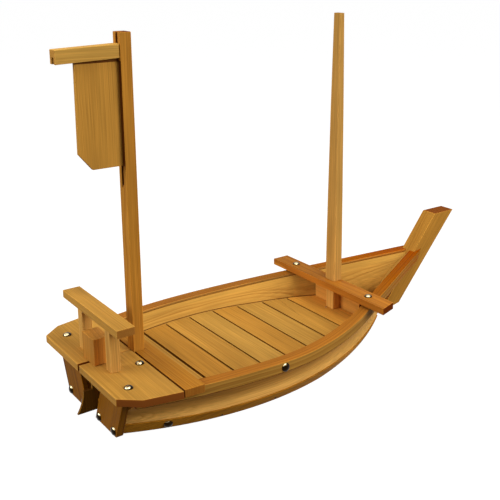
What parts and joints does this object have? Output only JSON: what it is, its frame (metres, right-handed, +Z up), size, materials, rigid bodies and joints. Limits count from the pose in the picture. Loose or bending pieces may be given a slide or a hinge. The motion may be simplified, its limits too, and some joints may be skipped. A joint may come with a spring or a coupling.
{
  "type": "sushi boat",
  "caption": "Wooden serving boat: slatted tray in a coved hull with raked stem, stern deck with bench and rudder, tapered fore mast, and rear mast with a slotted-in flag board.",
  "frame": {"origin": "on the table, under the middle of the boat's overall length and width", "axes": "+X towards the bow, +Y to port, +Z up"},
  "size_m": [0.606, 0.2522, 0.441],
  "materials": {
    "golden_wood": "clear satin varnish",
    "honey_wood": "clear satin varnish",
    "amber_wood": "clear satin varnish",
    "pale_wood": "clear satin varnish",
    "tack_brass": "antique, polished dome"
  },
  "bodies": {
    "hull": {"stem": "golden_wood", "bottom_board": "amber_wood", "side_plank_port": "golden_wood", "side_plank_stbd": "golden_wood", "gunwale_rail_port": "honey_wood", "gunwale_rail_stbd": "honey_wood", "transom_port": "amber_wood", "transom_stbd": "amber_wood", "stern_deck_port": "golden_wood", "stern_deck_stbd": "golden_wood", "aft_beam": "golden_wood", "bench_top": "golden_wood", "bench_post_port": "pale_wood", "bench_post_stbd": "pale_wood", "crossbeam": "honey_wood", "bulkhead": "honey_wood", "tray_slat_1": "golden_wood", "tray_slat_2": "golden_wood", "tray_slat_3": "golden_wood", "tray_slat_4": "golden_wood", "tray_slat_5": "golden_wood", "tray_slat_6": "golden_wood", "tray_slat_7": "golden_wood", "tray_slat_8": "golden_wood", "tray_bearer_port": "pale_wood", "tray_bearer_stbd": "pale_wood", "tack_deck_aft_port": "tack_brass", "tack_deck_aft_stbd": "tack_brass", "tack_deck_fore_port": "tack_brass", "tack_deck_fore_stbd": "tack_brass", "tack_transom_inner_port": "tack_brass", "tack_transom_inner_stbd": "tack_brass", "tack_transom_outer_port": "tack_brass", "tack_transom_outer_stbd": "tack_brass", "tack_ledge_port": "tack_brass", "tack_ledge_stbd": "tack_brass", "tack_rail_port": "tack_brass", "tack_rail_stbd": "tack_brass", "tack_crossbeam_port": "tack_brass", "tack_crossbeam_stbd": "tack_brass"},
    "rudder": {"rudder_head": "honey_wood", "rudder_blade": "amber_wood"},
    "rear_mast": {"rear_mast": "golden_wood"},
    "flag": {"flag_arm": "golden_wood", "flag_panel": "golden_wood"},
    "fore_mast": {"fore_mast": "pale_wood"}
  },
  "joints": [
    {"name": "rudder_draw", "type": "slide", "parent": "hull", "child": "rudder", "axis": [-1, 0, 0], "range_m": [0, 0.03]},
    {"name": "rear_mast_lift", "type": "slide", "parent": "hull", "child": "rear_mast", "axis": [0, 0, 1], "range_m": [0, 0.06]},
    {"name": "flag_lift", "type": "slide", "parent": "rear_mast", "child": "flag", "axis": [0, 0, 1], "range_m": [0, 0.145]},
    {"name": "fore_mast_lift", "type": "slide", "parent": "hull", "child": "fore_mast", "axis": [0, 0, 1], "range_m": [0, 0.05]}
  ]
}
